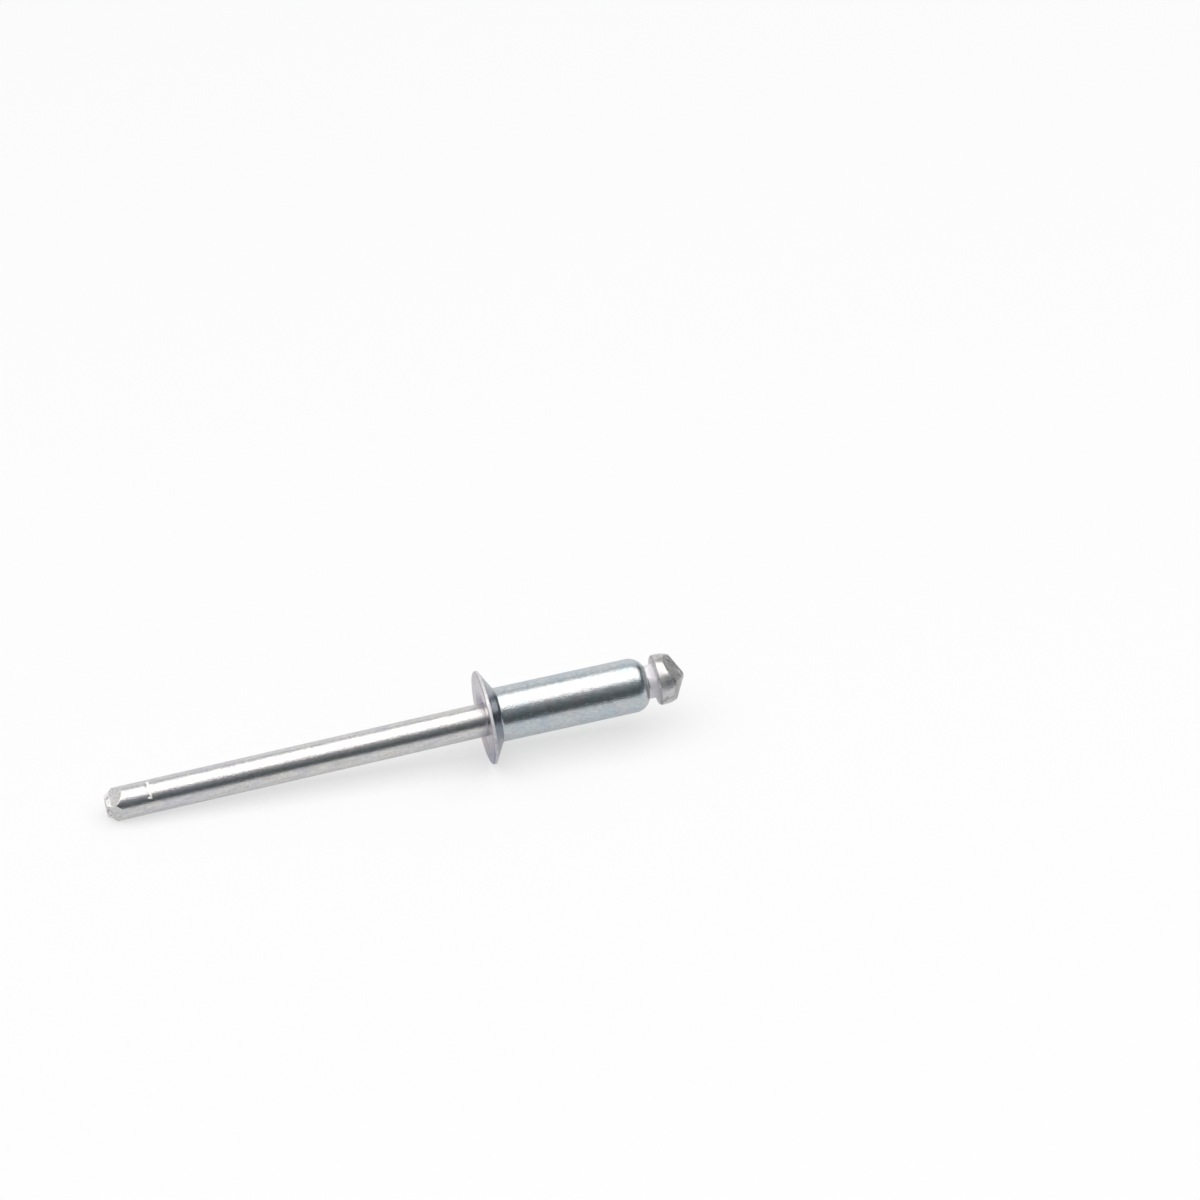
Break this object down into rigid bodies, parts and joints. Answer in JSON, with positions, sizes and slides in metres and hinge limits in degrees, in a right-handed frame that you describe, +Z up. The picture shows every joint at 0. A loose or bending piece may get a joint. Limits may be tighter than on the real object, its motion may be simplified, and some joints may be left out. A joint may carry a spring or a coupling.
{
  "type": "pop rivet",
  "caption": "Countersunk open-end blind rivet: a plated steel sleeve on a headed steel mandrel with a break neck, set from one side to clamp sheet metal.",
  "frame": {"origin": "centre of the bounding box's footprint, at the level of the surface that the rivet lies on", "axes": "+X along the rivet as it lies, from the mandrel's tail towards its head and level with the ground; +Y across it; +Z up"},
  "size_m": [0.0432, 0.007, 0.0069],
  "materials": {
    "rivet_body": "zinc plated, pale blue passivated",
    "mandrel": "bright drawn"
  },
  "bodies": {
    "root": {"rivet_body": "rivet_body", "mandrel": "mandrel"}
  },
  "joints": []
}
